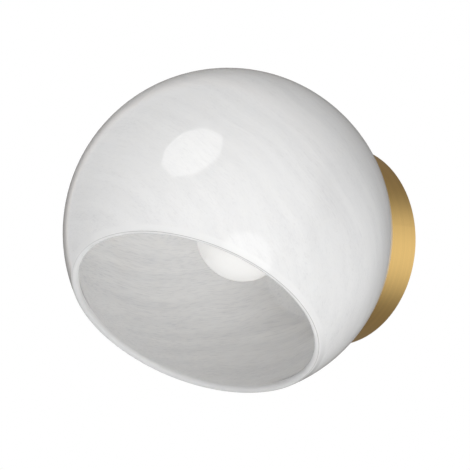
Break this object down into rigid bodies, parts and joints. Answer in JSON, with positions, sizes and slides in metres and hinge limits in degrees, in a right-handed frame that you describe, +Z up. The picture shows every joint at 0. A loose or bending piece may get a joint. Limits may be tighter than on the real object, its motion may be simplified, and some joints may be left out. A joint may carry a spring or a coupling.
{
  "type": "wall sconce",
  "caption": "Wall sconce: an opal swirled glass globe with a slanted open mouth, nested in a shallow round satin brass canopy, with a bulb on the wall axis.",
  "frame": {"origin": "centre of the back, on the wall, between the two fixing slots", "axes": "+Z up, +Y into the wall, the light stands out along -Y"},
  "size_m": [0.21, 0.213, 0.2054],
  "materials": {
    "opal_glass": "dense opal glass with fine swirled streaks, fire polished",
    "satin_brass": "satin brass, brushed round its circumference, lacquered",
    "plain_brass": "plain rolled brass",
    "zinc_steel": "bright zinc plated steel",
    "nickel_cap": "nickel plated",
    "tinned_copper": "tinned copper",
    "porcelain": "white glazed porcelain",
    "silicone": "translucent white silicone",
    "black_plastic": "black moulded plastic",
    "white_plastic": "white moulded polyamide",
    "black_insulation": "black lead insulation",
    "white_insulation": "white lead insulation",
    "green_insulation": "green lead insulation",
    "bulb_opal": "opal diffuser, satin gloss",
    "bulb_plastic": "white moulded plastic",
    "board_white": "white circuit board",
    "diode_yellow": "yellow phosphor diodes"
  },
  "bodies": {
    "fixture": {"canopy": "satin_brass", "canopy_screws": "satin_brass", "shade_ring": "satin_brass", "mounting_plate": "zinc_steel", "ear_nuts": "zinc_steel", "lock_ring": "zinc_steel", "lampholder_screws": "zinc_steel", "block_screws": "zinc_steel", "earth_screw": "zinc_steel", "earth_washer": "zinc_steel", "terminal_screws": "zinc_steel", "block_clamp_screws": "zinc_steel", "entry_bush": "black_plastic", "lampholder_body": "porcelain", "lampholder_base": "porcelain", "lampholder_shell": "plain_brass", "lampholder_contact": "plain_brass", "lampholder_terminals": "plain_brass", "block_inserts": "plain_brass", "earth_lug": "tinned_copper", "seat_gasket": "silicone", "ring_gasket": "silicone", "terminal_block": "white_plastic", "live_lead": "black_insulation", "neutral_lead": "white_insulation", "earth_lead": "green_insulation"},
    "globe": {"glass_globe": "opal_glass"},
    "bulb_carrier": {"bulb_contact": "nickel_cap"},
    "bulb": {"bulb_envelope": "bulb_opal", "bulb_housing": "bulb_plastic", "bulb_board": "board_white", "bulb_diodes": "diode_yellow", "bulb_cap": "nickel_cap", "bulb_insulator": "black_plastic"}
  },
  "joints": [
    {"name": "globe_turn", "type": "hinge", "parent": "fixture", "child": "globe", "pos_m": [0, -0.108, 0], "axis": [0, -1, 0], "continuous": true},
    {"name": "bulb_travel", "type": "slide", "parent": "fixture", "child": "bulb_carrier", "axis": [0, -1, 0], "range_m": [0, 0.0092]},
    {"name": "bulb_unscrew", "type": "hinge", "parent": "bulb_carrier", "child": "bulb", "pos_m": [0, -0.0937, 0], "axis": [0, -1, 0], "range_deg": [0, 900]}
  ],
  "couplings": [
    {"joint": "bulb_travel", "follows": "bulb_unscrew", "m_per_rad": 0.00057757}
  ]
}
